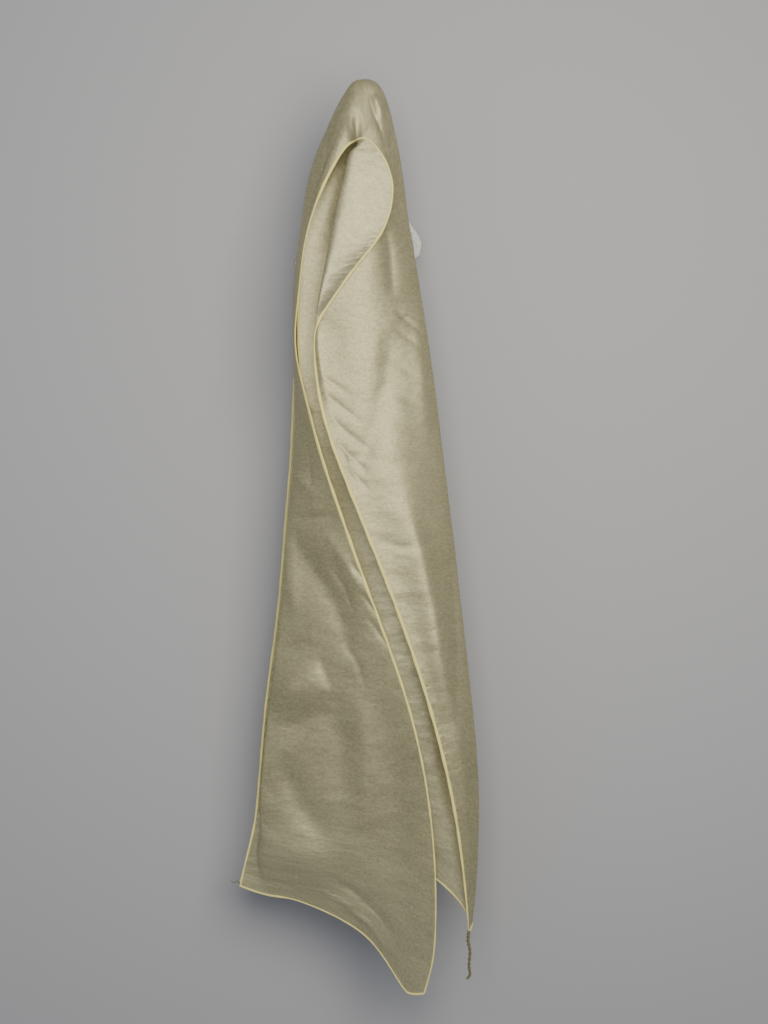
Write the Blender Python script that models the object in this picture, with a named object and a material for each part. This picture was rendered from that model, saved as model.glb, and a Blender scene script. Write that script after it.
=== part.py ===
"""A silk scarf hung by its middle over the upturned arm of a clear wall hook.

The wall is the plane y = 0, the scarf and the hook stand out from it toward -Y, and the origin
is the centre of the hook plate's flat back face. Units are metres.

The cloth is one smooth sheet that runs from the end of the left fall, over the hook, to the end
of the right fall. It is worked out from sections across the cloth, one row of a table each, and
built as a thin wall in three stretches.
"""
import math

import bmesh
import bpy
import numpy as np

CLOTH_WALL = 0.0010      # thickness that the silk is built with
CUT_GAP = 0.0003         # gap left where one stretch of cloth ends and the next begins
ROLL_RADIUS = 0.0026     # radius of the turned-back front edge
STEP = 0.00082           # one step across or down in the section tables
PLATE_ACROSS = 358.0     # the plate centre in those steps, across
PLATE_DOWN = 192.0       # and down
EYE_X = 0.0213           # the sections are seen from straight in front, from this point
EYE_Z = -0.2624
EYE_DISTANCE = 1.5

PLATE_THICK = 0.004
PLATE_EDGE = 0.0012      # bevel of the plate's front rim
ARM_WIDTH = 0.018        # the arm is widest where it leaves the plate
ARM_DEEP = 0.009
TIP_WIDTH = 0.012
TIP_DEEP = 0.007
ARM_SIDES = 16

# Each section runs across the cloth from its front hem to its back hem through six lines:
#   hem    front hem
#   roll   where the front edge turns back, or the cloth just behind the hem
#   face   middle of the front layer
#   edge   the outer fold, or the ridge over the hook
#   back   the layer behind
#   far    back hem
# A row gives steps across, steps down and millimetres out from the wall at those lines, and
# last how far the cloth turns at the roll: 0 lies on, 1 turns right back.
LEFT_SECTIONS = (
    ((424, 406, 366, 296, 266, 240), (994, 991, 936, 900, 895, 886), (55, 50, 41, 31, 27, 24), 0),
    ((435, 408, 360, 276, 260, 244), (950, 938, 902, 876, 872, 868), (56, 51, 42, 29, 26, 23), 0),
    ((437, 402, 350, 262, 258, 250), (884, 872, 860, 848, 846, 844), (58, 51, 42, 28, 26, 23), 0),
    ((430, 396, 342, 258, 276, 257), (800, 802, 804, 806, 808, 810), (59, 52, 43, 29, 26, 22), 0),
    ((407, 378, 331, 266, 332, 265), (700, 702, 704, 706, 708, 710), (60, 54, 45, 31, 27, 22), 0),
    ((371, 352, 321, 279, 352, 279), (600, 601, 602, 603, 604, 605), (61, 57, 49, 34, 28, 23), 0),
    ((339, 329, 311, 287, 360, 286), (510, 510, 511, 512, 513, 514), (62, 58, 51, 36, 29, 23), 0),
    ((319, 313, 305, 293, 366, 291), (450, 450, 451, 452, 454, 456), (62, 58, 52, 37, 30, 23), 0),
    ((306, 303, 300, 295, 371, 293), (400, 400, 401, 402, 406, 408), (63, 58, 51, 37, 29, 22), 0),
    ((294, 294, 294, 294, 375, 296), (342, 342, 342, 343, 348, 352), (64, 58, 50, 36, 26, 18), 0),
    ((299, 298, 296, 294, 374, 305), (290, 290, 290, 291, 296, 300), (65, 59, 50, 36, 24, 13), 0),
)
CROWN_SECTIONS = (
    ((304, 303, 301, 299, 370, 318), (243, 243, 243, 245, 250, 254), (66, 61, 53, 37, 22, 8), 0),
    ((321, 317, 311, 307, 362, 332), (189, 189, 189, 190, 197, 202), (69, 66, 58, 42, 22, 8), 0),
    ((345, 339, 331, 325, 346, 349), (147, 137, 129, 131, 146, 152), (71, 71, 66, 50, 24, 8), 0),
    ((350, 346, 342, 340, 346, 350), (143, 125, 106, 98, 129, 133), (72, 72, 69, 60, 26, 8), 0),
    ((354, 352, 353, 355, 360, 364), (141, 124, 99, 79, 114, 120), (75, 73, 70, 61, 28, 8), 0),
    ((358, 356, 359, 361, 364, 367), (139, 137, 107, 78, 114, 120), (81, 73, 70, 62, 29, 8), 0.5),
    ((363, 358, 366, 368, 370, 372), (137, 145, 116, 77, 114, 120), (81, 77, 70, 62, 30, 8), 1),
    ((373, 350, 373, 381, 387, 388), (143, 151, 124, 84, 122, 147), (80, 79, 70, 61, 30, 22), 1),
    ((389, 346, 380, 396, 391, 343), (168, 172, 160, 135, 156, 139), (79, 80, 71, 54, 40, 36), 1),
    ((393, 340, 382, 404, 380, 322), (190, 194, 190, 175, 190, 186), (78, 79, 71, 50, 42, 46), 1),
    ((386, 333, 375, 411, 372, 306), (226, 227, 228, 223, 230, 232), (78, 79, 71, 48, 43, 48), 1),
)
RIGHT_SECTIONS = (
    ((354, 325, 372, 418, 372, 300), (268, 270, 270, 266, 276, 280), (76, 78, 71, 48, 44, 47), 1),
    ((330, 318, 370, 424, 370, 298), (303, 304, 303, 302, 314, 322), (75, 77, 70, 48, 46, 48), 1),
    ((313, 316, 372, 428, 372, 299), (332, 333, 333, 330, 348, 358), (76, 70, 69, 48, 49, 49), 0.3),
    ((319, 330, 380, 438, 376, 309), (400, 400, 398, 397, 415, 425), (72, 70, 68, 48, 54, 50), 0),
    ((354, 365, 405, 450, 388, 322), (500, 499, 497, 496, 510, 516), (70, 69, 67, 48, 56, 47), 0),
    ((394, 404, 430, 462, 398, 310), (600, 599, 596, 595, 602, 608), (68, 67, 65, 48, 56, 38), 0),
    ((428, 435, 452, 472, 408, 300), (700, 699, 696, 693, 690, 692), (66, 65, 63, 48, 53, 33), 0),
    ((453, 458, 468, 480, 424, 297), (800, 799, 797, 795, 780, 756), (62, 61, 58, 46, 50, 33), 0),
    ((463, 466, 471, 478, 441, 297), (868, 867, 866, 862, 842, 775), (58, 57, 54, 46, 49, 33), 0),
    ((467, 469, 471, 475, 449, 297), (908, 907, 905, 902, 870, 782), (56, 55, 53, 49, 48, 33), 0),
    ((469, 470, 471, 472, 448, 297), (934, 931, 928, 923, 888, 789), (56, 56, 54, 50, 48, 33), 0),
)
SOFTENING = 2                   # times that the cloth's bends are evened out
SPANS = (5, 3, 5, 6, 7, 6)      # faces across between one line and the next, the roll being two
ROWS_PER_SECTION = 3            # faces along between one section and the next

# Half the plate's width, in metres, at heights down its middle.
PLATE_OUTLINE = (
    (0.066, 0.008), (0.060, 0.014), (0.037, 0.024), (0.005, 0.033), (-0.015, 0.037),
    (-0.030, 0.042), (-0.041, 0.049), (-0.051, 0.053), (-0.061, 0.051), (-0.067, 0.042),
)
PLATE_LEAN = 0.16        # how far the plate's right side stands higher for each step across
# The middle of the arm: out from the wall, height and place across, in metres.
ARM_PATH = (
    (0.002, 0.047, 0.006), (0.018, 0.047, 0.008), (0.034, 0.046, 0.010), (0.048, 0.047, 0.012),
    (0.056, 0.053, 0.0135), (0.0592, 0.060, 0.0140), (0.0597, 0.0660, 0.0139),
)

SILK = (0.66, 0.62, 0.45, 1.0)
CLEAR_PLASTIC = (0.90, 0.93, 0.93, 1.0)


def clear_scene():
    """Removes whatever objects the scene holds."""
    for item in list(bpy.data.objects):
        bpy.data.objects.remove(item, do_unlink=True)


def material(name, colour, roughness, alpha=1.0):
    """Returns a new Principled material."""
    made = bpy.data.materials.new(name)
    made.use_nodes = True
    shader = made.node_tree.nodes["Principled BSDF"]
    shader.inputs["Base Color"].default_value = colour
    shader.inputs["Roughness"].default_value = roughness
    shader.inputs["Metallic"].default_value = 0.0
    shader.inputs["Alpha"].default_value = alpha
    made.diffuse_color = colour
    return made


def place(across, down, out):
    """Turns table readings into points.

    A reading is a place on the wall as seen from the eye point; a point that stands out from the
    wall by y lies on the line of sight, so it is drawn in to the eye by the factor 1 - y / d.
    """
    near = 1.0 - out / EYE_DISTANCE
    x = EYE_X + ((across - PLATE_ACROSS) * STEP - EYE_X) * near
    z = EYE_Z + ((PLATE_DOWN - down) * STEP - EYE_Z) * near
    return np.stack([x, -out, z], axis=-1)


def lines_and_turns():
    """Returns the six lines as points, one row per section, and the turn of each section."""
    sections = LEFT_SECTIONS + CROWN_SECTIONS + RIGHT_SECTIONS
    across = np.array([row[0] for row in sections], float)
    down = np.array([row[1] for row in sections], float)
    out = np.array([row[2] for row in sections], float) / 1000.0
    turn = np.array([row[3] for row in sections], float)
    return place(across, down, out), turn


def slopes(knots, values):
    """Slopes of a smooth curve through the rows that never swings past them.

    Inside, the slope is the weighted harmonic mean of the two neighbouring slopes, and 0 where
    they differ in sign; at each end it is the slope of the last span.
    """
    step = np.diff(knots)[:, None]
    rise = np.diff(values, axis=0) / step
    before, after = rise[:-1], rise[1:]
    w1, w2 = 2.0 * step[1:] + step[:-1], step[1:] + 2.0 * step[:-1]
    same = before * after > 0.0
    safe_before = np.where(same, before, 1.0)
    safe_after = np.where(same, after, 1.0)
    inner = np.where(same, (w1 + w2) / (w1 / safe_before + w2 / safe_after), 0.0)
    return np.concatenate([rise[:1], inner, rise[-1:]])


def along(knots, values, where):
    """Cubic curve through the rows of values at the places given."""
    flat = values.reshape(len(values), -1)
    slope = slopes(knots, flat)
    k = np.clip(np.searchsorted(knots, where, side="right") - 1, 0, len(knots) - 2)
    step = (knots[k + 1] - knots[k])[:, None]
    t = ((where - knots[k]) / (knots[k + 1] - knots[k]))[:, None]
    made = ((2 * t**3 - 3 * t**2 + 1) * flat[k] + (t**3 - 2 * t**2 + t) * step * slope[k]
            + (3 * t**2 - 2 * t**3) * flat[k + 1] + (t**3 - t**2) * step * slope[k + 1])
    return made.reshape((len(where),) + values.shape[1:])


def unit(vectors):
    """Vectors scaled to length one."""
    return vectors / np.maximum(np.linalg.norm(vectors, axis=-1, keepdims=True), 1e-12)


def across_curve(points, spans):
    """Rounded curves through the points of each section, spans[i] faces between i and i + 1.

    Knots are spaced by the square root of the distance between points, and each slope is that of
    the parabola through a point and its two neighbours.
    """
    gap = np.sqrt(np.maximum(np.linalg.norm(np.diff(points, axis=1), axis=-1), 1e-6))[..., None]
    rise = np.diff(points, axis=1) / gap
    inner = (rise[:, :-1] * gap[:, 1:] + rise[:, 1:] * gap[:, :-1]) / (gap[:, :-1] + gap[:, 1:])
    first = 1.5 * rise[:, :1] - 0.5 * inner[:, :1]
    last = 1.5 * rise[:, -1:] - 0.5 * inner[:, -1:]
    slope = np.concatenate([first, inner, last], axis=1)
    pieces = []
    for i, count in enumerate(spans):
        t = (np.arange(count + (i == len(spans) - 1)) / count)[None, :, None]
        h = gap[:, i:i + 1]
        pieces.append((2 * t**3 - 3 * t**2 + 1) * points[:, i:i + 1]
                      + (t**3 - 2 * t**2 + t) * h * slope[:, i:i + 1]
                      + (3 * t**2 - 2 * t**3) * points[:, i + 1:i + 2]
                      + (t**3 - t**2) * h * slope[:, i + 1:i + 2])
    return np.concatenate(pieces, axis=1)


def cloth(where, spans=SPANS):
    """Middle surface of the cloth at places along it, counted in sections from the left end."""
    lines, turn = lines_and_turns()
    chord = np.linalg.norm(np.diff(lines, axis=0), axis=-1).mean(axis=1)
    length = np.concatenate([[0.0], np.cumsum(chord)])
    place_along = np.interp(where, np.arange(len(length)), length)
    at = along(length, lines, place_along)
    turned = along(length, turn[:, None], place_along)
    hem, roll, face = at[:, 0], at[:, 1], at[:, 2]
    on = unit(face - hem)
    wall_ward = np.array([0.0, 1.0, 0.0])
    half = turned * ROLL_RADIUS + (1.0 - turned) * 0.25 * np.linalg.norm(
        roll - hem, axis=-1, keepdims=True)
    half = np.minimum(half, ROLL_RADIUS)
    lean = unit(turned * wall_ward + (1.0 - turned) * on) * half
    points = np.stack([hem, roll - lean, roll + lean, face, at[:, 3], at[:, 4], at[:, 5]], axis=1)
    return across_curve(points, spans)


def softened(grid, passes):
    """A grid evened out: each inner value is averaged with its neighbours along and across."""
    made = grid.copy()
    for _ in range(passes):
        made[1:-1] = (made[:-2] + 2.0 * made[1:-1] + made[2:]) / 4.0
        made[:, 1:-1] = (made[:, :-2] + 2.0 * made[:, 1:-1] + made[:, 2:]) / 4.0
    return made


def normals(surface):
    """Unit normals of a grid of points, from the differences along and across it, evened out."""
    down = np.gradient(surface, axis=0)
    over = np.gradient(surface, axis=1)
    return unit(softened(unit(np.cross(down, over)), 2))


def wall_mesh(name, surface, facing, thickness):
    """A closed wall of the given thickness about a grid of points and their unit normals."""
    rows, columns = surface.shape[:2]
    lift = facing * thickness / 2.0
    points = np.concatenate([(surface + lift).reshape(-1, 3), (surface - lift).reshape(-1, 3)])
    index = np.arange(rows * columns).reshape(rows, columns)
    front = np.stack([index[:-1, :-1], index[1:, :-1], index[1:, 1:], index[:-1, 1:]],
                     axis=-1).reshape(-1, 4)
    behind = front[:, ::-1] + rows * columns
    rim = np.concatenate([index[0, :-1], index[:-1, -1], index[-1, :0:-1], index[:0:-1, 0]])
    after = np.roll(rim, -1)
    sides = np.stack([rim, after, after + rows * columns, rim + rows * columns], axis=-1)
    faces = np.concatenate([front, behind, sides])
    mesh = bpy.data.meshes.new(name)
    mesh.from_pydata(points.tolist(), [], faces.tolist())
    made = bmesh.new()
    made.from_mesh(mesh)
    bmesh.ops.triangulate(made, faces=made.faces)
    bmesh.ops.recalc_face_normals(made, faces=made.faces)
    made.to_mesh(mesh)
    made.free()
    mesh.shade_smooth()
    mesh.set_sharp_from_angle(angle=math.radians(50.0))
    return mesh


def add_object(name, mesh, look):
    """Links a mesh as an object with one material."""
    made = bpy.data.objects.new(name, mesh)
    made.data.materials.append(look)
    bpy.context.scene.collection.objects.link(made)
    return made


def whole_cloth():
    """The cloth's evened middle surface, its unit normals, and unit steps along it.

    A step along is the difference between rows, less its share that runs across.
    """
    sections = len(LEFT_SECTIONS) + len(CROWN_SECTIONS) + len(RIGHT_SECTIONS)
    where = np.linspace(0, sections - 1, (sections - 1) * ROWS_PER_SECTION + 1)
    surface = softened(cloth(where), SOFTENING)
    over = unit(np.gradient(surface, axis=1))
    down = np.gradient(surface, axis=0)
    down = unit(down - (down * over).sum(axis=-1, keepdims=True) * over)
    return surface, normals(surface), down


def stretch(name, whole, first, last, look):
    """One stretch of the cloth between two sections, less half the gap at a cut end."""
    surface, facing, down = whole
    end = len(surface) - 1
    first, last = first * ROWS_PER_SECTION, last * ROWS_PER_SECTION
    rows = surface[first:last + 1].copy()
    if first > 0:
        rows[0] += down[first] * CUT_GAP / 2.0
    if last < end:
        rows[-1] -= down[last] * CUT_GAP / 2.0
    return add_object(name, wall_mesh(name, rows, facing[first:last + 1], CLOTH_WALL), look)


def plate_mesh():
    """The plate: its outline drawn as a face on the wall and carried forward, its rim beveled."""
    right = [(half, height) for height, half in PLATE_OUTLINE]
    left = [(-half, height) for height, half in reversed(PLATE_OUTLINE)]
    made = bmesh.new()
    corners = [made.verts.new((x, 0.0, z + PLATE_LEAN * x)) for x, z in right + left]
    back = made.faces.new(corners)
    lifted = bmesh.ops.extrude_face_region(made, geom=[back])["geom"]
    front = [item for item in lifted if isinstance(item, bmesh.types.BMVert)]
    bmesh.ops.translate(made, verts=front, vec=(0.0, -PLATE_THICK, 0.0))
    bmesh.ops.recalc_face_normals(made, faces=made.faces)
    rim = [edge for edge in made.edges
           if all(abs(vert.co.y + PLATE_THICK) < 1e-6 for vert in edge.verts)]
    bmesh.ops.bevel(made, geom=rim, offset=PLATE_EDGE, segments=2, affect="EDGES", profile=0.5)
    mesh = bpy.data.meshes.new("hook_plate")
    made.to_mesh(mesh)
    made.free()
    return mesh


def arm_mesh():
    """The arm: rounded rings square to its path, closed by a round tip."""
    path = np.array(ARM_PATH)
    fine = np.linspace(0, len(path) - 1, 19)
    centre = along(np.arange(len(path)).astype(float), path, fine)
    points = np.stack([centre[:, 2], -centre[:, 0], centre[:, 1]], axis=-1)
    forward = unit(np.gradient(points, axis=0))
    side = np.array([1.0, 0.0, 0.0])
    up = unit(np.cross(side, forward))
    share = np.linspace(0.0, 1.0, len(points))
    wide = ARM_WIDTH + (TIP_WIDTH - ARM_WIDTH) * share
    deep = ARM_DEEP + (TIP_DEEP - ARM_DEEP) * share
    made = bmesh.new()
    rings = []
    angle = np.linspace(0.0, 2.0 * math.pi, ARM_SIDES, endpoint=False)
    for i in range(len(points)):
        ring = (points[i] + np.cos(angle)[:, None] * side * wide[i] / 2.0
                + np.sin(angle)[:, None] * up[i] * deep[i] / 2.0)
        rings.append(ring)
    for lift, size in ((0.45, 0.88), (0.8, 0.6)):
        ring = (points[-1] + forward[-1] * lift * TIP_DEEP / 2.0
                + size * (np.cos(angle)[:, None] * side * wide[-1] / 2.0
                          + np.sin(angle)[:, None] * up[-1] * deep[-1] / 2.0))
        rings.append(ring)
    verts = [[made.verts.new(tuple(corner)) for corner in ring] for ring in rings]
    for lower, upper in zip(verts[:-1], verts[1:]):
        for i in range(ARM_SIDES):
            j = (i + 1) % ARM_SIDES
            made.faces.new((lower[i], lower[j], upper[j], upper[i]))
    made.faces.new(verts[0])
    crown = made.verts.new(tuple(points[-1] + forward[-1] * TIP_DEEP / 2.0))
    for i in range(ARM_SIDES):
        made.faces.new((verts[-1][i], verts[-1][(i + 1) % ARM_SIDES], crown))
    bmesh.ops.recalc_face_normals(made, faces=made.faces)
    mesh = bpy.data.meshes.new("hook_arm")
    made.to_mesh(mesh)
    made.free()
    return mesh


def wall_hook(look):
    """The clear hook: plate and arm joined in one body."""
    hook = add_object("wall_hook", plate_mesh(), look)
    arm = bpy.data.objects.new("hook_arm_guide", arm_mesh())
    arm.hide_render = True
    arm.display_type = "WIRE"
    bpy.context.scene.collection.objects.link(arm)
    join = hook.modifiers.new("arm", "BOOLEAN")
    join.operation = "UNION"
    join.object = arm
    hook.data.shade_smooth()
    hook.data.set_sharp_from_angle(angle=math.radians(40.0))
    return hook


def build():
    """Builds the hook and the three stretches of the scarf."""
    clear_scene()
    silk = material("silk", SILK, 0.45)
    clear = material("clear_plastic", CLEAR_PLASTIC, 0.08, alpha=0.35)
    left_cut = len(LEFT_SECTIONS)
    right_cut = left_cut + len(CROWN_SECTIONS) - 1
    end = left_cut + len(CROWN_SECTIONS) + len(RIGHT_SECTIONS) - 1
    wall_hook(clear)
    whole = whole_cloth()
    stretch("scarf_left_fall", whole, 0, left_cut, silk)
    stretch("scarf_crown", whole, left_cut, right_cut, silk)
    stretch("scarf_right_fall", whole, right_cut, end, silk)


build()
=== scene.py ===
"""Looks of the silk scarf and its clear wall hook.

The cloth is one thin sheet on the form of the three cloth solids, worked out from the same
section tables, with its creases, puckers and edging added. Lengths are metres, and section
readings are steps across and down the wall as seen from the eye point.
"""
import math

import bpy
import numpy as np
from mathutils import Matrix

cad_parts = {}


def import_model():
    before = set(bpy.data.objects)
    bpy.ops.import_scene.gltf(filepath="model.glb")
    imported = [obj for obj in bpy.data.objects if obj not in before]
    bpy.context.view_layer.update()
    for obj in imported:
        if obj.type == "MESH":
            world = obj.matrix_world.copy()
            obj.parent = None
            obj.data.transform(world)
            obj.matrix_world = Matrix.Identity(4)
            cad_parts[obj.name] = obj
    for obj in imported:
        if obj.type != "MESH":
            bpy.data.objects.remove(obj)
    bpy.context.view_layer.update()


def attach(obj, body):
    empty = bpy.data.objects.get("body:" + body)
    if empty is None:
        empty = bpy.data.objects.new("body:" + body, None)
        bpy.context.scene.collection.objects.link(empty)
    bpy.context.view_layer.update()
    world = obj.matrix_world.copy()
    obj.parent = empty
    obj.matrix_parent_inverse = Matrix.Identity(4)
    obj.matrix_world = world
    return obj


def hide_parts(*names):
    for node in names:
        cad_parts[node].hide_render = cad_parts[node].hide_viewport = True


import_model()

ROLL_RADIUS = 0.0026     # radius of the turned-back front edge
STEP = 0.00082           # one step across or down in the section tables
PLATE_ACROSS = 358.0     # the hook plate's centre in those steps, across
PLATE_DOWN = 192.0       # and down
EYE_X = 0.0213           # the sections are seen from straight in front, from this point
EYE_Z = -0.2624
EYE_DISTANCE = 1.5
VIEW_HEIGHT = 0.840      # height of the wall that the camera sees

# Each section runs across the cloth from its front hem to its back hem through six lines:
#   hem    front hem
#   roll   where the front edge turns back, or the cloth just behind the hem
#   face   middle of the front layer
#   edge   the outer fold, or the ridge over the hook
#   back   the layer behind
#   far    back hem
# A row gives steps across, steps down and millimetres out from the wall at those lines, and
# last how far the cloth turns at the roll: 0 lies on, 1 turns right back.
LEFT_SECTIONS = (
    ((424, 406, 366, 296, 266, 240), (994, 991, 936, 900, 895, 886), (55, 50, 41, 31, 27, 24), 0),
    ((435, 408, 360, 276, 260, 244), (950, 938, 902, 876, 872, 868), (56, 51, 42, 29, 26, 23), 0),
    ((437, 402, 350, 262, 258, 250), (884, 872, 860, 848, 846, 844), (58, 51, 42, 28, 26, 23), 0),
    ((430, 396, 342, 258, 276, 257), (800, 802, 804, 806, 808, 810), (59, 52, 43, 29, 26, 22), 0),
    ((407, 378, 331, 266, 332, 265), (700, 702, 704, 706, 708, 710), (60, 54, 45, 31, 27, 22), 0),
    ((371, 352, 321, 279, 352, 279), (600, 601, 602, 603, 604, 605), (61, 57, 49, 34, 28, 23), 0),
    ((339, 329, 311, 287, 360, 286), (510, 510, 511, 512, 513, 514), (62, 58, 51, 36, 29, 23), 0),
    ((319, 313, 305, 293, 366, 291), (450, 450, 451, 452, 454, 456), (62, 58, 52, 37, 30, 23), 0),
    ((306, 303, 300, 295, 371, 293), (400, 400, 401, 402, 406, 408), (63, 58, 51, 37, 29, 22), 0),
    ((294, 294, 294, 294, 375, 296), (342, 342, 342, 343, 348, 352), (64, 58, 50, 36, 26, 18), 0),
    ((299, 298, 296, 294, 374, 305), (290, 290, 290, 291, 296, 300), (65, 59, 50, 36, 24, 13), 0),
)
CROWN_SECTIONS = (
    ((304, 303, 301, 299, 370, 318), (243, 243, 243, 245, 250, 254), (66, 61, 53, 37, 22, 8), 0),
    ((321, 317, 311, 307, 362, 332), (189, 189, 189, 190, 197, 202), (69, 66, 58, 42, 22, 8), 0),
    ((345, 339, 331, 325, 346, 349), (147, 137, 129, 131, 146, 152), (71, 71, 66, 50, 24, 8), 0),
    ((350, 346, 342, 340, 346, 350), (143, 125, 106, 98, 129, 133), (72, 72, 69, 60, 26, 8), 0),
    ((354, 352, 353, 355, 360, 364), (141, 124, 99, 79, 114, 120), (75, 73, 70, 61, 28, 8), 0),
    ((358, 356, 359, 361, 364, 367), (139, 137, 107, 78, 114, 120), (81, 73, 70, 62, 29, 8), 0.5),
    ((363, 358, 366, 368, 370, 372), (137, 145, 116, 77, 114, 120), (81, 77, 70, 62, 30, 8), 1),
    ((373, 350, 373, 381, 387, 388), (143, 151, 124, 84, 122, 147), (80, 79, 70, 61, 30, 22), 1),
    ((389, 346, 380, 396, 391, 343), (168, 172, 160, 135, 156, 139), (79, 80, 71, 54, 40, 36), 1),
    ((393, 340, 382, 404, 380, 322), (190, 194, 190, 175, 190, 186), (78, 79, 71, 50, 42, 46), 1),
    ((386, 333, 375, 411, 372, 306), (226, 227, 228, 223, 230, 232), (78, 79, 71, 48, 43, 48), 1),
)
RIGHT_SECTIONS = (
    ((354, 325, 372, 418, 372, 300), (268, 270, 270, 266, 276, 280), (76, 78, 71, 48, 44, 47), 1),
    ((330, 318, 370, 424, 370, 298), (303, 304, 303, 302, 314, 322), (75, 77, 70, 48, 46, 48), 1),
    ((313, 316, 372, 428, 372, 299), (332, 333, 333, 330, 348, 358), (76, 70, 69, 48, 49, 49), 0.3),
    ((319, 330, 380, 438, 376, 309), (400, 400, 398, 397, 415, 425), (72, 70, 68, 48, 54, 50), 0),
    ((354, 365, 405, 450, 388, 322), (500, 499, 497, 496, 510, 516), (70, 69, 67, 48, 56, 47), 0),
    ((394, 404, 430, 462, 398, 310), (600, 599, 596, 595, 602, 608), (68, 67, 65, 48, 56, 38), 0),
    ((428, 435, 452, 472, 408, 300), (700, 699, 696, 693, 690, 692), (66, 65, 63, 48, 53, 33), 0),
    ((453, 458, 468, 480, 424, 297), (800, 799, 797, 795, 780, 756), (62, 61, 58, 46, 50, 33), 0),
    ((463, 466, 471, 478, 441, 297), (868, 867, 866, 862, 842, 775), (58, 57, 54, 46, 49, 33), 0),
    ((467, 469, 471, 475, 449, 297), (908, 907, 905, 902, 870, 782), (56, 55, 53, 49, 48, 33), 0),
    ((469, 470, 471, 472, 448, 297), (934, 931, 928, 923, 888, 789), (56, 56, 54, 50, 48, 33), 0),
)
SPANS = (20, 12, 20, 24, 14, 12)  # faces across between one line and the next
ROWS_PER_SECTION = 30
EVEN_ALONG = 170         # passes that even out the cloth's bends along it
EVEN_ACROSS = 14         # and across it
EVEN_NORMALS = 2         # passes that even out its normals, each way

EDGING_THICK = 0.0012
STITCH = 0.0017          # one stitch to the next
STITCH_RIDGE = 0.13      # how far a stitch stands up, as a share of the edging
EDGING_SIDES = 8
RINGS_PER_STITCH = 4
# Unevenness of the edging's width, as sines of its length: share, turns per metre, start.
WANDERS = ((0.10, 310.0, 0.0), (0.08, 173.0, 1.0))

# Width of the overlocked edge in millimetres at sections along the front hem and the back hem,
# and at the two ends.
FRONT_EDGING = ((0, 1.3), (2.5, 1.4), (4, 2.2), (6, 2.9), (8, 3.6), (11, 3.2), (14, 1.8),
                (17, 1.5), (20, 1.7), (22, 2.5), (27, 2.8), (29, 2.5), (31, 1.4), (32, 1.0))
BACK_EDGING = ((0, 1.5), (4, 1.9), (9, 1.8), (32, 1.6))
END_EDGING = 1.7

# Loose twisted threads: name, path across, down and millimetres out, thickness in millimetres,
# and turns.
THREADS = (
    ("thread_tail", ((469, 931, 56.2), (468, 940, 56.8), (470, 952, 57), (469, 966, 56.5),
                     (470, 974, 56), (467, 979, 55)), 2.4, 7),
    ("loose_thread", ((240, 884, 24.5), (237, 881, 26), (234, 883, 27), (231, 881, 27.5)),
     0.7, 3),
)
THREAD_RINGS = 90
STRAND_OFF = 0.28        # a strand's distance from the thread's middle, as a share of the thread
STRAND_RADIUS = 0.36     # and its radius
THREAD_TAPER = 0.25      # how much thinner the thread is at its end

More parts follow.
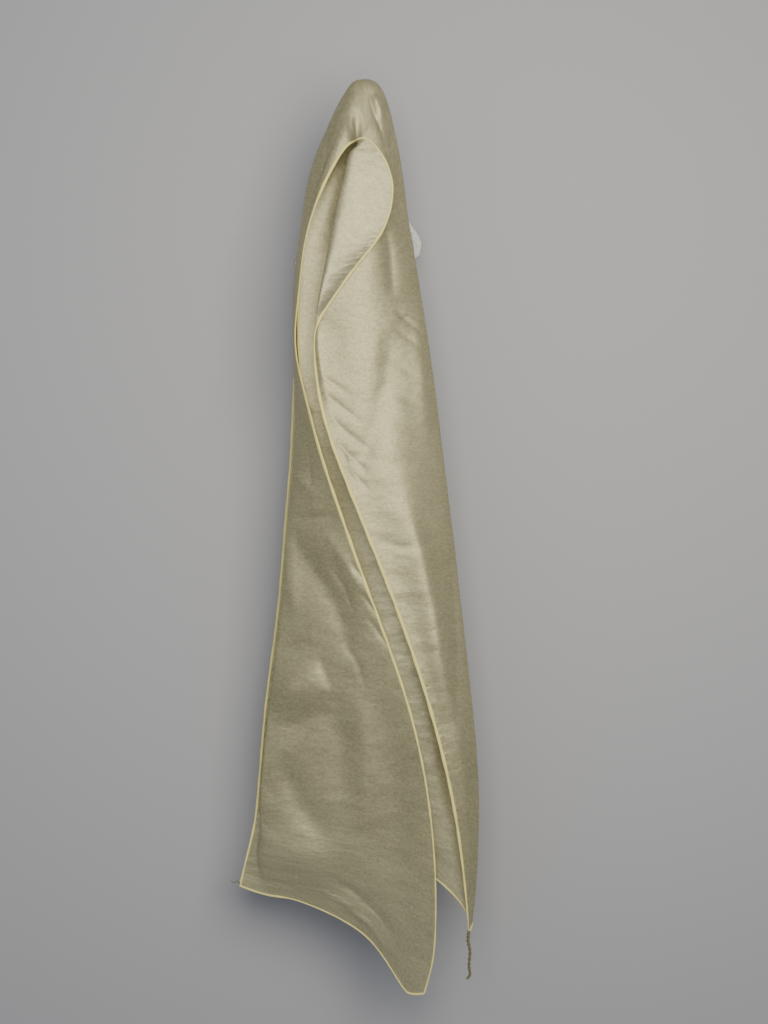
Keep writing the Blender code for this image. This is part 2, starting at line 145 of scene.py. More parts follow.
# Creases, seen from the front. Sections run from 0 at the left end to 32 at the right end, and
# lines from 0 at the front hem to 6 at the back hem: 3 is the face, 4 the edge, 5 the back.
# A row gives the sections and lines it lies between, its path across and down, its half width in
# steps, its depth in millimetres, a trough being above 0 and a ridge below, and its power: 1 for
# a sharp fold, 2 for a soft swell.
CREASES = (
    # the crown, over the hook's arm
    ((11, 17), (2.2, 5), ((350, 84), (338, 112), (327, 141), (320, 175), (313, 203), (305, 240)),
     5, 2.0, 1.0),
    ((15, 22), (2.2, 4.6), ((367, 80), (370, 98), (375, 114), (382, 132), (388, 160)), 3.5, 1.6, 1.0),
    ((15, 22), (2, 4.6), ((388, 160), (399, 196), (409, 236)), 6, 2.0, 1.0),
    ((15, 22), (2, 4.6), ((378, 120), (386, 150), (391, 190)), 5, -0.9, 1.4),
    ((15, 22), (-1, 4.6), ((375, 94), (378, 104), (382, 117)), 3.5, -1.2, 1.6),
    ((11, 16), (-1, 5), ((324, 128), (312, 168), (303, 212)), 4, -1.0, 1.4),
    # the left fall
    ((0, 11), (-1, 3.5), ((284, 514), (303, 519), (338, 515)), 3.5, 1.6, 1.0),
    ((0, 11), (-1, 3.5), ((280, 521), (306, 562), (334, 604), (354, 661)), 14, 3.6, 1.6),
    ((0, 11), (-1, 3.5), ((322, 526), (344, 560), (368, 604)), 8, -1.8, 1.5),
    ((0, 11), (-1, 3.5), ((280, 556), (290, 590), (298, 620)), 10, -1.6, 1.8),
    ((0, 11), (-1, 3.5), ((262, 704), (290, 690), (326, 676)), 20, -4.2, 1.9),
    ((0, 11), (-1, 3.5), ((268, 655), (290, 648), (312, 640)), 7, 1.6, 1.4),
    ((0, 11), (-1, 3.5), ((262, 722), (290, 726), (330, 712)), 10, 1.6, 1.5),
    ((0, 11), (-1, 3.5), ((250, 772), (262, 784), (277, 800)), 5, 2.2, 1.2),
    ((0, 11), (-1, 3.5), ((246, 812), (262, 824), (284, 838)), 5, 1.6, 1.3),
    ((0, 11), (-1, 3.5), ((276, 756), (296, 800), (330, 842)), 13, 2.6, 1.8),
    ((0, 11), (-1, 3.5), ((350, 562), (362, 576), (374, 592)), 3, 1.0, 1.3),
    ((0, 11), (-1, 3.5), ((357, 588), (368, 602), (382, 622)), 3, 1.1, 1.3),
    ((0, 11), (-1, 3.5), ((366, 616), (378, 632), (392, 652)), 3, 1.0, 1.3),
    ((0, 11), (-1, 3.5), ((330, 566), (344, 588), (352, 612)), 3, 0.9, 1.3),
    ((0, 11), (-1, 3.5), ((340, 640), (356, 660), (366, 690)), 4, 1.0, 1.3),
    ((0, 11), (-1, 3.5), ((386, 700), (398, 780), (396, 880)), 22, 2.0, 1.8),
    ((0, 11), (-1, 3.5), ((436, 690), (440, 780), (431, 880), (416, 958)), 32, -4.2, 2.0),
    ((0, 11), (-1, 3.5), ((330, 690), (340, 740), (342, 800)), 13, 2.4, 1.8),
    ((0, 11), (-1, 3.5), ((360, 690), (366, 760), (362, 830)), 12, -2.0, 1.6),
    ((0, 11), (-1, 4.8), ((250, 856), (292, 856), (340, 872)), 24, -3.4, 1.9),
    ((0, 11), (-1, 3.5), ((316, 888), (345, 904), (372, 928), (392, 958)), 4, -0.9, 1.5),
    ((0, 11), (-1, 3.5), ((322, 874), (350, 889), (378, 915), (398, 944)), 4.5, 0.9, 1.3),
    ((0, 11), (-1, 3.5), ((330, 906), (336, 896), (344, 884)), 2.5, 0.9, 1.3),
    ((0, 11), (-1, 3.5), ((352, 924), (358, 910), (370, 896)), 2.5, 0.9, 1.3),
    ((0, 11), (-1, 3.5), ((372, 944), (378, 928), (388, 914)), 2.5, 0.8, 1.3),
    ((0, 11), (-1, 3.5), ((296, 400), (306, 440), (312, 496)), 5, 1.4, 1.4),
    ((0, 11), (-1, 3.5), ((292, 470), (304, 484), (318, 496)), 5, -1.0, 1.4),
    # the right fall's front layer
    ((20, 32), (1.2, 4), ((386, 222), (391, 258), (393, 298)), 6, 1.8, 1.3),
    ((20, 32), (1.2, 4), ((388, 330), (386, 380), (372, 440), (352, 478)), 12, 2.0, 1.8),
    ((20, 32), (1.2, 4), ((414, 300), (420, 360), (428, 440)), 10, -1.4, 1.6),
    ((20, 32), (1.2, 4), ((394, 308), (408, 322), (424, 334)), 2.5, 0.8, 1.3),
    ((20, 32), (1.2, 4), ((392, 326), (408, 338), (426, 352)), 2.5, 0.6, 1.3),
    ((20, 32), (1.2, 4), ((400, 318), (410, 316), (420, 318)), 2, 0.7, 1.3),
    ((20, 32), (1.2, 4), ((386, 356), (408, 372), (432, 384)), 3, 0.5, 1.3),
    ((20, 32), (1.2, 4), ((392, 392), (414, 404), (438, 412)), 3, 0.5, 1.3),
    ((20, 32), (1.2, 4), ((390, 424), (416, 434), (442, 440)), 3, 0.45, 1.3),
    ((20, 32), (1.2, 4), ((346, 455), (390, 462), (442, 464)), 2.5, 0.5, 1.3),
    ((22.4, 32), (-1, 4), ((318, 374), (334, 384), (352, 396)), 2.5, 0.9, 1.3),
    ((22.4, 32), (-1, 4), ((322, 392), (340, 406), (364, 424)), 2.5, 0.9, 1.3),
    ((22.4, 32), (-1, 4), ((328, 414), (346, 432), (372, 452)), 2.5, 0.9, 1.3),
    ((22.4, 32), (-1, 4), ((335, 440), (350, 456), (368, 472)), 2.5, 0.9, 1.3),
    ((22.4, 32), (-1, 4), ((345, 464), (357, 478), (370, 490)), 2.5, 0.8, 1.3),
    ((22.4, 32), (-1, 4), ((403, 496), (420, 552), (433, 611), (446, 725)), 12, -2.4, 1.8),
    ((22.4, 32), (-1, 4), ((374, 540), (404, 548), (440, 540)), 4, 0.8, 1.4),
    ((22.4, 32), (-1, 4), ((452, 560), (457, 640), (458, 730)), 6, 1.6, 1.5),
    ((22.4, 32), (-1, 4), ((440, 570), (450, 566), (456, 556)), 3, 0.8, 1.3),
    # the layer behind, where it shows between the falls and from the back
    ((20, 32), (4.2, 7), ((300, 386), (308, 386), (316, 384)), 3, 1.0, 1.3),
    ((20, 32), (4.2, 7), ((308, 408), (316, 410), (324, 408)), 2.5, 0.9, 1.3),
    ((20, 32), (4.2, 7), ((354, 566), (370, 560), (384, 548)), 3, 1.0, 1.3),
    ((20, 32), (4.2, 7), ((330, 300), (344, 420), (360, 520)), 9, 2.0, 1.6),
    ((20, 32), (4.2, 7), ((330, 560), (352, 640), (350, 730)), 10, 2.4, 1.6),
    ((20, 32), (4.2, 7), ((372, 620), (398, 700), (420, 790)), 8, 1.0, 1.6),
    ((0, 11), (4.2, 7), ((300, 330), (320, 420), (330, 520)), 8, 1.6, 1.6),
    ((0, 11), (4.2, 7), ((290, 600), (300, 680), (280, 760)), 9, 2.0, 1.6),
    ((0, 11), (4.2, 7), ((262, 800), (290, 850), (300, 890)), 8, 1.8, 1.6),
    ((20, 32), (4.2, 7), ((412, 330), (424, 470), (438, 610)), 7, -2.2, 1.5),
    ((20, 32), (4.2, 7), ((392, 420), (408, 560), (426, 700)), 5, 1.4, 1.4),
    ((20, 32), (4.2, 7), ((430, 640), (444, 740), (452, 830)), 6, -2.0, 1.5),
    ((0, 11), (4.2, 7), ((312, 380), (304, 520), (296, 640)), 7, -2.4, 1.5),
    ((0, 11), (4.2, 7), ((270, 640), (262, 740), (258, 830)), 5, -1.6, 1.4),
    ((11, 22), (4.4, 7), ((340, 150), (330, 200), (318, 250)), 6, 1.2, 1.4),
    ((11, 22), (4.4, 7), ((372, 140), (378, 190), (380, 250)), 6, 1.2, 1.4),
)
SECTION_RAMP = 0.5       # how softly a crease stops at its sections
LINE_RAMP = 0.4          # and at its lines

# Small gathers beside the hems. A row gives the hem, the sections it lies between, its strength,
# how far in it reaches in millimetres, and its slant: how far it runs on along for each step in.
GATHERS = (
    ("front", 0.0, 4.0, 0.25, 5.0, 0.2),
    ("front", 4.0, 8.0, 0.15, 4.0, 0.2),
    ("front", 8.0, 13.5, 0.40, 4.5, 0.0),
    ("front", 15.5, 20.0, 0.12, 3.0, 0.0),
    ("front", 20.0, 22.6, 0.80, 8.0, 0.3),
    ("front", 23.0, 26.0, 0.50, 9.0, 0.6),
    ("front", 26.0, 28.0, 0.25, 5.0, 0.4),
    ("front", 28.0, 31.0, 0.55, 6.0, 0.4),
    ("back", 0.0, 10.0, 0.35, 5.0, 0.2),
)
GATHER_RAMP = 0.4        # how softly gathers stop at their sections

SILK = (0.54, 0.51, 0.33, 1.0)
SILK_BACK = (0.57, 0.54, 0.37, 1.0)
SILK_METALLIC = 0.50     # the silk's sheen
SILK_SPECULAR = 0.15
SILK_THROUGH = 0.24      # share of the light that comes through the silk

# Noises of the silk, in metres over its width, its length, and its length carried on by the
# slant: size and detail. Then what they do to the tone and the height.
SLUB, SLUB_TONE, SLUB_HEIGHT = ((0.012, 0.0015, 0.5), 2.0), 0.22, 0.00002
GRAIN, GRAIN_TONE, GRAIN_HEIGHT = ((0.0024, 0.0019, 0.5), 1.0), 0.56, 0.00006
CLOUD, CLOUD_TONE, CLOUD_ROUGHNESS = ((0.060, 0.045, 0.5), 3.0), 0.18, 0.14
WRINKLE, WRINKLE_HEIGHT = ((0.034, 0.020, 0.5), 2.5), 0.0014
RIPPLE, RIPPLE_HEIGHT = ((0.012, 50.0, 0.0042), 1.0), 0.0012
LEAST_TONE = 0.50
LEAST_ROUGHNESS = 0.34

THREAD = (1.0, 0.90, 0.36, 1.0)
THREAD_ROUGHNESS = 0.8
THREAD_SPECULAR = 0.1
CHAIN = (0.22, 0.20, 0.11, 1.0)
CHAIN_ROUGHNESS = 0.7
CHAIN_SPECULAR = 0.2
CLEAR = (0.93, 0.96, 0.97, 1.0)
CLEAR_ROUGHNESS = 0.06
CLEAR_TRANSMISSION = 0.75
CLEAR_IOR = 1.46

WALL = (0.50, 0.505, 0.56, 1.0)
WALL_ROUGHNESS = 0.9
WALL_SPECULAR = 0.1
BOARD_HALF = 3.0
BOARD_BACK = 0.03
SKY = (0.55, 0.59, 0.67, 1.0)
SKY_STRENGTH = 0.36
SENSOR_WIDTH = 24.0

# Square soft lights: name, place, point aimed at, side, power in watts, colour.
LIGHTS = (
    ("key", (0.18, -0.85, 0.0), (0.02, 0.0, -0.20), 0.74, 8.2, (1.0, 0.94, 0.76)),
    ("fill", (-0.75, -1.2, -0.15), (-0.1, 0.0, -0.30), 1.2, 1.5, (1.0, 0.98, 0.94)),
)


def place(across, down, out):
    """Turns table readings into points.

    A reading is a place on the wall as seen from the eye point. A point that stands out from the
    wall lies on the line of sight to it, so it is drawn in to the eye by 1 - out / eye distance.
    """
    near = 1.0 - out / EYE_DISTANCE
    x = EYE_X + ((across - PLATE_ACROSS) * STEP - EYE_X) * near
    z = EYE_Z + ((PLATE_DOWN - down) * STEP - EYE_Z) * near
    return np.stack([x, -out, z], axis=-1)


def readings(points):
    """The steps across and down at which points are seen: place() turned round."""
    near = 1.0 + points[..., 1] / EYE_DISTANCE
    across = PLATE_ACROSS + ((points[..., 0] - EYE_X) / near + EYE_X) / STEP
    down = PLATE_DOWN - ((points[..., 2] - EYE_Z) / near + EYE_Z) / STEP
    return across, down


def slopes(knots, values):
    """Slopes of a smooth curve through the rows that never swings past them.

    Inside, the slope is the weighted harmonic mean of the two neighbouring slopes, and 0 where
    they differ in sign; at each end it is the slope of the last span.
    """
    step = np.diff(knots)[:, None]
    rise = np.diff(values, axis=0) / step
    before, after = rise[:-1], rise[1:]
    w1, w2 = 2.0 * step[1:] + step[:-1], step[1:] + 2.0 * step[:-1]
    same = before * after > 0.0
    safe_before = np.where(same, before, 1.0)
    safe_after = np.where(same, after, 1.0)
    inner = np.where(same, (w1 + w2) / (w1 / safe_before + w2 / safe_after), 0.0)
    return np.concatenate([rise[:1], inner, rise[-1:]])


def along(knots, values, where):
    """Cubic curve through the rows of values at the places given."""
    flat = values.reshape(len(values), -1)
    slope = slopes(knots, flat)
    k = np.clip(np.searchsorted(knots, where, side="right") - 1, 0, len(knots) - 2)
    step = (knots[k + 1] - knots[k])[:, None]
    t = ((where - knots[k]) / (knots[k + 1] - knots[k]))[:, None]
    made = ((2 * t**3 - 3 * t**2 + 1) * flat[k] + (t**3 - 2 * t**2 + t) * step * slope[k]
            + (3 * t**2 - 2 * t**3) * flat[k + 1] + (t**3 - t**2) * step * slope[k + 1])
    return made.reshape((len(where),) + values.shape[1:])


def unit(vectors):
    """Vectors scaled to length one."""
    return vectors / np.maximum(np.linalg.norm(vectors, axis=-1, keepdims=True), 1e-12)


def across_curve(points, spans):
    """Rounded curves through the points of each section, spans[i] faces between i and i + 1.

    Knots are spaced by the square root of the distance between points, and each slope is that of
    the parabola through a point and its two neighbours.
    """
    gap = np.sqrt(np.maximum(np.linalg.norm(np.diff(points, axis=1), axis=-1), 1e-6))[..., None]
    rise = np.diff(points, axis=1) / gap
    inner = (rise[:, :-1] * gap[:, 1:] + rise[:, 1:] * gap[:, :-1]) / (gap[:, :-1] + gap[:, 1:])
    first = 1.5 * rise[:, :1] - 0.5 * inner[:, :1]
    last = 1.5 * rise[:, -1:] - 0.5 * inner[:, -1:]
    slope = np.concatenate([first, inner, last], axis=1)
    pieces = []
    for i, count in enumerate(spans):
        t = (np.arange(count + (i == len(spans) - 1)) / count)[None, :, None]
        h = gap[:, i:i + 1]
        pieces.append((2 * t**3 - 3 * t**2 + 1) * points[:, i:i + 1]
                      + (t**3 - 2 * t**2 + t) * h * slope[:, i:i + 1]
                      + (3 * t**2 - 2 * t**3) * points[:, i + 1:i + 2]
                      + (t**3 - t**2) * h * slope[:, i + 1:i + 2])
    return np.concatenate(pieces, axis=1)


def cloth(where, spans):
    """Middle surface of the cloth at places along it, counted in sections from the left end."""
    sections = LEFT_SECTIONS + CROWN_SECTIONS + RIGHT_SECTIONS
    lines = place(*(np.array([row[i] for row in sections], float) / (1000.0 if i == 2 else 1.0)
                    for i in range(3)))
    turn = np.array([row[3] for row in sections], float)
    chord = np.linalg.norm(np.diff(lines, axis=0), axis=-1).mean(axis=1)
    length = np.concatenate([[0.0], np.cumsum(chord)])
    place_along = np.interp(where, np.arange(len(length)), length)
    at = along(length, lines, place_along)
    turned = along(length, turn[:, None], place_along)
    hem, roll, face = at[:, 0], at[:, 1], at[:, 2]
    on = unit(face - hem)
    wall_ward = np.array([0.0, 1.0, 0.0])
    half = turned * ROLL_RADIUS + (1.0 - turned) * 0.25 * np.linalg.norm(
        roll - hem, axis=-1, keepdims=True)
    half = np.minimum(half, ROLL_RADIUS)
    lean = unit(turned * wall_ward + (1.0 - turned) * on) * half
    points = np.stack([hem, roll - lean, roll + lean, face, at[:, 3], at[:, 4], at[:, 5]], axis=1)
    return across_curve(points, spans)


def softened(grid, rows, columns):
    """A grid evened out: inner values are averaged with their neighbours, along it and across."""
    made = grid.copy()
    for _ in range(rows):
        made[1:-1] = (made[:-2] + 2.0 * made[1:-1] + made[2:]) / 4.0
    for _ in range(columns):
        made[:, 1:-1] = (made[:, :-2] + 2.0 * made[:, 1:-1] + made[:, 2:]) / 4.0
    return made


def normals(surface):
    """Unit normals of a grid of points, from the differences along and across it."""
    down = np.gradient(surface, axis=0)
    over = np.gradient(surface, axis=1)
    return unit(softened(unit(np.cross(down, over)), EVEN_NORMALS, EVEN_NORMALS))


def nearest_on_path(across, down, path):
    """Distance in steps from each reading to a path, and the share of the path gone by there."""
    corners = np.array(path, float)
    lengths = np.linalg.norm(np.diff(corners, axis=0), axis=1)
    gone = np.concatenate([[0.0], np.cumsum(lengths)])
    best = np.full(across.shape, 1e9)
    share = np.zeros(across.shape)
    for i, size in enumerate(lengths):
        way = (corners[i + 1] - corners[i]) / size
        off_across, off_down = across - corners[i, 0], down - corners[i, 1]
        t = np.clip(off_across * way[0] + off_down * way[1], 0.0, size)
        distance = np.hypot(off_across - t * way[0], off_down - t * way[1])
        closer = distance < best
        best = np.where(closer, distance, best)
        share = np.where(closer, (gone[i] + t) / gone[-1], share)
    return best, share


def window(values, first, last, ramp):
    """1 between first and last, falling straight to 0 within a ramp outside them."""
    return np.clip((values - first) / ramp + 1.0, 0.0, 1.0) * np.clip(
        (last - values) / ramp + 1.0, 0.0, 1.0)


def creased(surface, section, line):
    """The surface moved along its normals by the creases.

    A crease's depth falls off sideways as exp(-(distance / half width) ** power), and toward its
    ends as 1 - |2 t - 1| ** 3.
    """
    across, down = readings(surface)
    facing = normals(surface)
    move = np.zeros(across.shape)
    for sections, lines, path, half_width, depth, power in CREASES:
        distance, share = nearest_on_path(across, down, path)
        profile = np.exp(-(distance / half_width) ** power)
        profile *= 1.0 - np.abs(2.0 * share - 1.0) ** 3
        profile *= window(section, *sections, SECTION_RAMP) * window(line, *lines, LINE_RAMP)
        move -= profile * depth / 1000.0
    return surface + facing * move[..., None]


def grid_faces(rows, columns):
    """Four-cornered faces of a grid of rows and columns of points."""
    index = np.arange(rows * columns).reshape(rows, columns)
    return np.stack([index[:-1, :-1], index[1:, :-1], index[1:, 1:], index[:-1, 1:]],
                    axis=-1).reshape(-1, 4).tolist()


def add_piece(name, points, faces, look, attributes=()):
    """Adds a smooth mesh piece with one material and its own point attributes."""
    mesh = bpy.data.meshes.new(name)
    mesh.from_pydata(points.reshape(-1, 3).tolist(), [], faces)
    mesh.shade_smooth()
    for label, values in attributes:
        layer = mesh.attributes.new(label, "FLOAT_VECTOR", "POINT")
        layer.data.foreach_set("vector", values.reshape(-1).astype(np.float32))
    mesh.materials.append(look)
    piece = bpy.data.objects.new(name, mesh)
    bpy.context.scene.collection.objects.link(piece)
    return piece


def edging_points(path, over, facing, widths):
    """The overlocked edge: a flat ring of thread carried along an edge of the cloth.

    Each ring is an ellipse of the edging's width and thickness, centred on the edge. A stitch
    swells it by its ridge, as a cosine of the length along less a slant round the ring, and the
    width wanders a little as the sum of two sines.
    """
    step = np.linalg.norm(np.diff(path, axis=0), axis=1)
    length = np.concatenate([[0.0], np.cumsum(step)])
    count = max(8, int(length[-1] / STITCH * RINGS_PER_STITCH))
    at = np.linspace(0.0, length[-1], count)
    centre, side, up = (np.stack([np.interp(at, length, value[:, i]) for i in range(3)], axis=1)
                        for value in (path, over, facing))
    side, up = unit(side), unit(up)
    angle = np.linspace(0.0, 2.0 * math.pi, EDGING_SIDES, endpoint=False)
    slant = at[:, None] / STITCH * 2.0 * math.pi - angle[None, :]
    swell = 1.0 + STITCH_RIDGE * np.cos(slant)
    wander = 1.0 + sum(share * np.sin(at * turns + start) for share, turns, start in WANDERS)
    spread = (np.interp(at, length, widths) * wander)[:, None]
    wide = (np.cos(angle)[None, :] * swell * spread / 2.0)[..., None]
    thick = (np.sin(angle)[None, :] * swell * EDGING_THICK / 2.0)[..., None]
    return centre[:, None] + side[:, None] * wide + up[:, None] * thick


def tube_faces(rings, sides):
    """Faces of a closed tube of rings, with a flat face on each end."""
    index = np.arange(rings * sides).reshape(rings, sides)
    after = np.roll(index, -1, axis=1)
    walls = np.stack([index[:-1], after[:-1], after[1:], index[1:]], axis=-1).reshape(-1, 4)
    return walls.tolist() + [index[0, ::-1].tolist(), index[-1].tolist()]


def add_tube(name, points, look):
    """A piece from a grid of rings."""
    return add_piece(name, points, tube_faces(*points.shape[:2]), look)


class Value:
    """A socket of a node tree that can be added and multiplied."""

    def __init__(self, tree, socket):
        """Keeps the tree and the socket."""
        self.tree, self.socket = tree, socket

    def node(self, kind, settings=(), values=(), out=0):
        """Adds a node: settings first, then values or links for its sockets, by name or number."""
        made = self.tree.nodes.new(kind)
        for key, value in dict(settings).items():
            setattr(made, key, value)
        for key, value in dict(values).items():
            if isinstance(value, Value):
                self.tree.links.new(value.socket, made.inputs[key])
            else:
                made.inputs[key].default_value = value
        return Value(self.tree, made.outputs[out])

    def maths(self, operation, other):
        """A Math node of this value and another."""
        return self.node("ShaderNodeMath", {"operation": operation}, {0: self, 1: other})

    def __add__(self, other):
        return self.maths("ADD", other)

    __radd__ = __add__

    def __mul__(self, other):
        return self.maths("MULTIPLY", other)

    __rmul__ = __mul__

    def feed(self, socket):
        """Links this value to a socket."""
        self.tree.links.new(self.socket, socket)


def new_look(name, colour, roughness, **constants):
    """A Principled material with its constants, its shader's inputs and its shader's output."""
    made = bpy.data.materials.new(name)
    made.use_nodes = True
    shader = made.node_tree.nodes["Principled BSDF"]
    shader.inputs["Base Color"].default_value = colour
    shader.inputs["Roughness"].default_value = roughness
    for label, value in constants.items():
        shader.inputs[label.replace("_", " ")].default_value = value
    return made, shader.inputs, Value(made.node_tree, shader.outputs[0])


def surface_socket(made):
    """The socket that takes a material's surface."""
    return made.node_tree.nodes["Material Output"].inputs["Surface"]


def stretched_noise(vector, size, detail):
    """Noise in a place whose three sides are stretched to the sizes given, in metres."""
    scaled = vector.node("ShaderNodeVectorMath", {"operation": "MULTIPLY"},
                         {0: vector, 1: tuple(1.0 / side for side in size)})
    return vector.node("ShaderNodeTexNoise", {"noise_dimensions": "3D"},
                       {"Vector": scaled, "Scale": 1.0, "Detail": detail, "Roughness": 0.5})


def silk_look():
    """Pale silk: slubs across the width, fine grain, a faint cloudiness, puckers at the hems."""
    made, inputs, shader = new_look("silk_cloth", SILK, LEAST_ROUGHNESS, Metallic=SILK_METALLIC,
                                    Specular_IOR_Level=SILK_SPECULAR)
    cut = shader.node("ShaderNodeAttribute", {"attribute_name": "cut_place"}, out=1)
    gathers = shader.node("ShaderNodeAttribute", {"attribute_name": "gathers"}, out=1)
    strength = shader.node("ShaderNodeSeparateXYZ", {}, {0: gathers})
    slub, grain, cloud, wrinkle, ripple = (stretched_noise(cut, *noise) for noise in
                                           (SLUB, GRAIN, CLOUD, WRINKLE, RIPPLE))
    behind = shader.node("ShaderNodeNewGeometry", out=6)
    plain = shader.node("ShaderNodeMix", {"data_type": "RGBA"},
                        {0: behind, 6: SILK, 7: SILK_BACK}, out=2)
    tone = LEAST_TONE + SLUB_TONE * slub + GRAIN_TONE * grain + CLOUD_TONE * cloud
    grey = shader.node("ShaderNodeCombineXYZ", {}, {0: tone, 1: tone, 2: tone})
    colour = shader.node("ShaderNodeVectorMath", {"operation": "MULTIPLY"}, {0: plain, 1: grey})
    height = (slub * SLUB_HEIGHT + grain * GRAIN_HEIGHT + wrinkle * WRINKLE_HEIGHT
              + ripple * strength * RIPPLE_HEIGHT)
    bump = shader.node("ShaderNodeBump", {}, {"Strength": 1.0, "Distance": 1.0, "Height": height})
    colour.feed(inputs["Base Color"])
    (LEAST_ROUGHNESS + CLOUD_ROUGHNESS * cloud).feed(inputs["Roughness"])
    bump.feed(inputs["Normal"])
    through = shader.node("ShaderNodeBsdfTranslucent", {}, {"Color": colour})
    blend = shader.node("ShaderNodeMixShader", {}, {0: SILK_THROUGH, 1: shader, 2: through})
    blend.feed(surface_socket(made))
    return made


def build_scarf():
    """The silk sheet, its edging all round and the loose threads."""
    sections = len(LEFT_SECTIONS) + len(CROWN_SECTIONS) + len(RIGHT_SECTIONS) - 1
    where = np.linspace(0.0, sections, sections * ROWS_PER_SECTION + 1)
    surface = softened(cloth(where, SPANS), EVEN_ALONG, EVEN_ACROSS)
    line = np.concatenate([i + np.arange(count + (i == len(SPANS) - 1)) / count
                           for i, count in enumerate(SPANS)])
    section_grid, line_grid = np.meshgrid(where, line, indexing="ij")
    surface = creased(surface, section_grid, line_grid)
    rows, columns = surface.shape[:2]
    front = np.cumsum(np.linalg.norm(np.diff(surface[:, 0], axis=0), axis=1))
    length = np.concatenate([[0.0], front])
    steps = np.linalg.norm(np.diff(surface, axis=1), axis=2)
    width = np.concatenate([np.zeros((rows, 1)), np.cumsum(steps, axis=1)], axis=1)
    cut = np.stack([width, np.broadcast_to(length[:, None], width.shape), 0.0 * width], axis=-1)
    rest = width[:, -1:] - width
    strength, slant = np.zeros((2,) + width.shape)
    for hem, first, last, size, reach, lean in GATHERS:
        inward = width if hem == "front" else rest
        share = window(section_grid, first, last, GATHER_RAMP)
        share *= np.exp(-inward * 1000.0 / reach)
        strength += share * size
        slant += share * lean
    cut[..., 2] = cut[..., 1] + slant * width
    gathers = np.stack([strength, 0.0 * width, 0.0 * width], axis=-1)
    sheet = add_piece("silk_sheet", surface, grid_faces(rows, columns), silk_look(),
                      (("cut_place", cut), ("gathers", gathers)))
    thread = new_look("edging_thread", THREAD, THREAD_ROUGHNESS,
                      Specular_IOR_Level=THREAD_SPECULAR)[0]
    facing = normals(surface)
    over = unit(np.gradient(surface, axis=1))
    down = unit(np.gradient(surface, axis=0))
    edges = (
        ("front_edging", surface[:, 0], over[:, 0], facing[:, 0]),
        ("back_edging", surface[:, -1], over[:, -1], facing[:, -1]),
        ("left_end_edging", surface[0], down[0], facing[0]),
        ("right_end_edging", surface[-1], down[-1], facing[-1]),
    )
    front_widths, back_widths = (np.interp(where, *np.array(table).T) / 1000.0
                                 for table in (FRONT_EDGING, BACK_EDGING))
    end_widths = np.full(columns, END_EDGING / 1000.0)
    widths = (front_widths, back_widths, end_widths, end_widths)
    trims = [add_tube(name, edging_points(path, side, up, wide), thread)
             for (name, path, side, up), wide in zip(edges, widths)]
    for piece in [sheet] + trims:
        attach(piece, "root")
    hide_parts("scarf_left_fall", "scarf_crown", "scarf_right_fall")
    for piece in thread_chains():
        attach(piece, "root")


def thread_points(path, size, turns):
    """Two threads twisted about a path: each ring's middle circles it as the length goes by."""
    corners = place(*(np.array([row[i] for row in path], float) / (1000.0 if i == 2 else 1.0)
                      for i in range(3)))
    fine = np.linspace(0.0, len(path) - 1.0, THREAD_RINGS)
    centre = along(np.arange(len(path)).astype(float), corners, fine)
    forward = unit(np.gradient(centre, axis=0))
    side = unit(np.cross(forward, np.array([0.0, 1.0, 0.0])))
    up = np.cross(forward, side)
    thick = size * (1.0 - THREAD_TAPER * fine / fine[-1])
    made = []
    angle = np.linspace(0.0, 2.0 * math.pi, EDGING_SIDES, endpoint=False)
    for start in (0.0, math.pi):
        turn = start + fine / fine[-1] * turns * 2.0 * math.pi
        middle = centre + (np.cos(turn)[:, None] * side + np.sin(turn)[:, None] * up) * (
            thick * STRAND_OFF)[:, None]
        made.append(middle[:, None] + (np.cos(angle)[None, :, None] * side[:, None]
                                       + np.sin(angle)[None, :, None] * up[:, None])
                    * (thick * STRAND_RADIUS)[:, None, None])
    return made


def thread_chains():
    """The twisted thread tail below the right fall and the loose end at the left corner."""
    look = new_look("loose_thread_look", CHAIN, CHAIN_ROUGHNESS,
                    Specular_IOR_Level=CHAIN_SPECULAR)[0]
    pieces = []
    for name, path, size, turns in THREADS:
        for i, points in enumerate(thread_points(path, size / 1000.0, turns)):
            pieces.append(add_tube(name + ("_first" if i == 0 else "_second"), points, look))
    return pieces


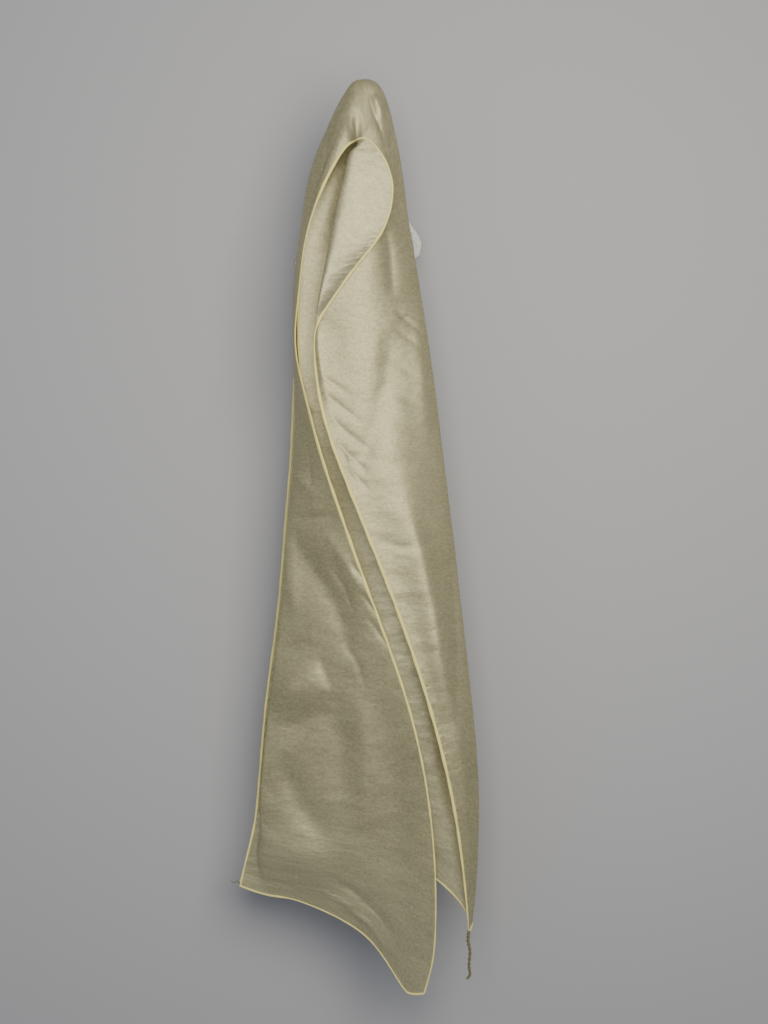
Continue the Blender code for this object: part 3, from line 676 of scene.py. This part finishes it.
def dress_hook():
    """The hook keeps its solid and gets a clear, shiny plastic."""
    look = new_look("clear_hook", CLEAR, CLEAR_ROUGHNESS,
                    Transmission_Weight=CLEAR_TRANSMISSION, IOR=CLEAR_IOR)[0]
    for slot in bpy.data.objects["wall_hook"].material_slots:
        slot.material = look


def add_light(name, where, aim, size, power, colour):
    """A square soft light turned toward a point."""
    lamp = bpy.data.lights.new(name, "AREA")
    lamp.shape, lamp.size, lamp.energy, lamp.color = "SQUARE", size, power, colour
    made = bpy.data.objects.new(name, lamp)
    made.location = where
    way = unit(np.array(aim, float) - np.array(where, float))
    made.rotation_euler = (math.acos(-way[2]), 0.0, math.atan2(way[0], -way[1]) + math.pi)
    bpy.context.scene.collection.objects.link(made)


def backdrop():
    """A plain board behind the wall plane that shows from the front alone."""
    corners = ((-1, -1), (1, -1), (1, 1), (-1, 1))
    points = np.array([(x * BOARD_HALF, BOARD_BACK, z * BOARD_HALF) for x, z in corners])
    look, _, shader = new_look("backdrop", WALL, WALL_ROUGHNESS,
                               Specular_IOR_Level=WALL_SPECULAR)
    behind = shader.node("ShaderNodeNewGeometry", out=6)
    clear = shader.node("ShaderNodeBsdfTransparent")
    blend = shader.node("ShaderNodeMixShader", {}, {0: behind, 1: shader, 2: clear})
    blend.feed(surface_socket(look))
    add_piece("backdrop", points, [[0, 1, 2, 3]], look)


def camera():
    """The camera at the eye point, looking straight at the wall."""
    lens = bpy.data.cameras.new("camera")
    lens.sensor_width = SENSOR_WIDTH
    lens.lens = SENSOR_WIDTH * EYE_DISTANCE / VIEW_HEIGHT
    made = bpy.data.objects.new("camera", lens)
    made.location = (EYE_X, -EYE_DISTANCE, EYE_Z)
    made.rotation_euler = (math.pi / 2.0, 0.0, 0.0)
    bpy.context.scene.collection.objects.link(made)
    bpy.context.scene.camera = made


def world():
    """A grey surrounding light."""
    scene = bpy.context.scene
    scene.world = scene.world or bpy.data.worlds.new("world")
    scene.world.use_nodes = True
    sky = scene.world.node_tree.nodes["Background"]
    sky.inputs["Color"].default_value = SKY
    sky.inputs["Strength"].default_value = SKY_STRENGTH


camera()
world()
backdrop()
for light in LIGHTS:
    add_light(*light)
dress_hook()
build_scarf()
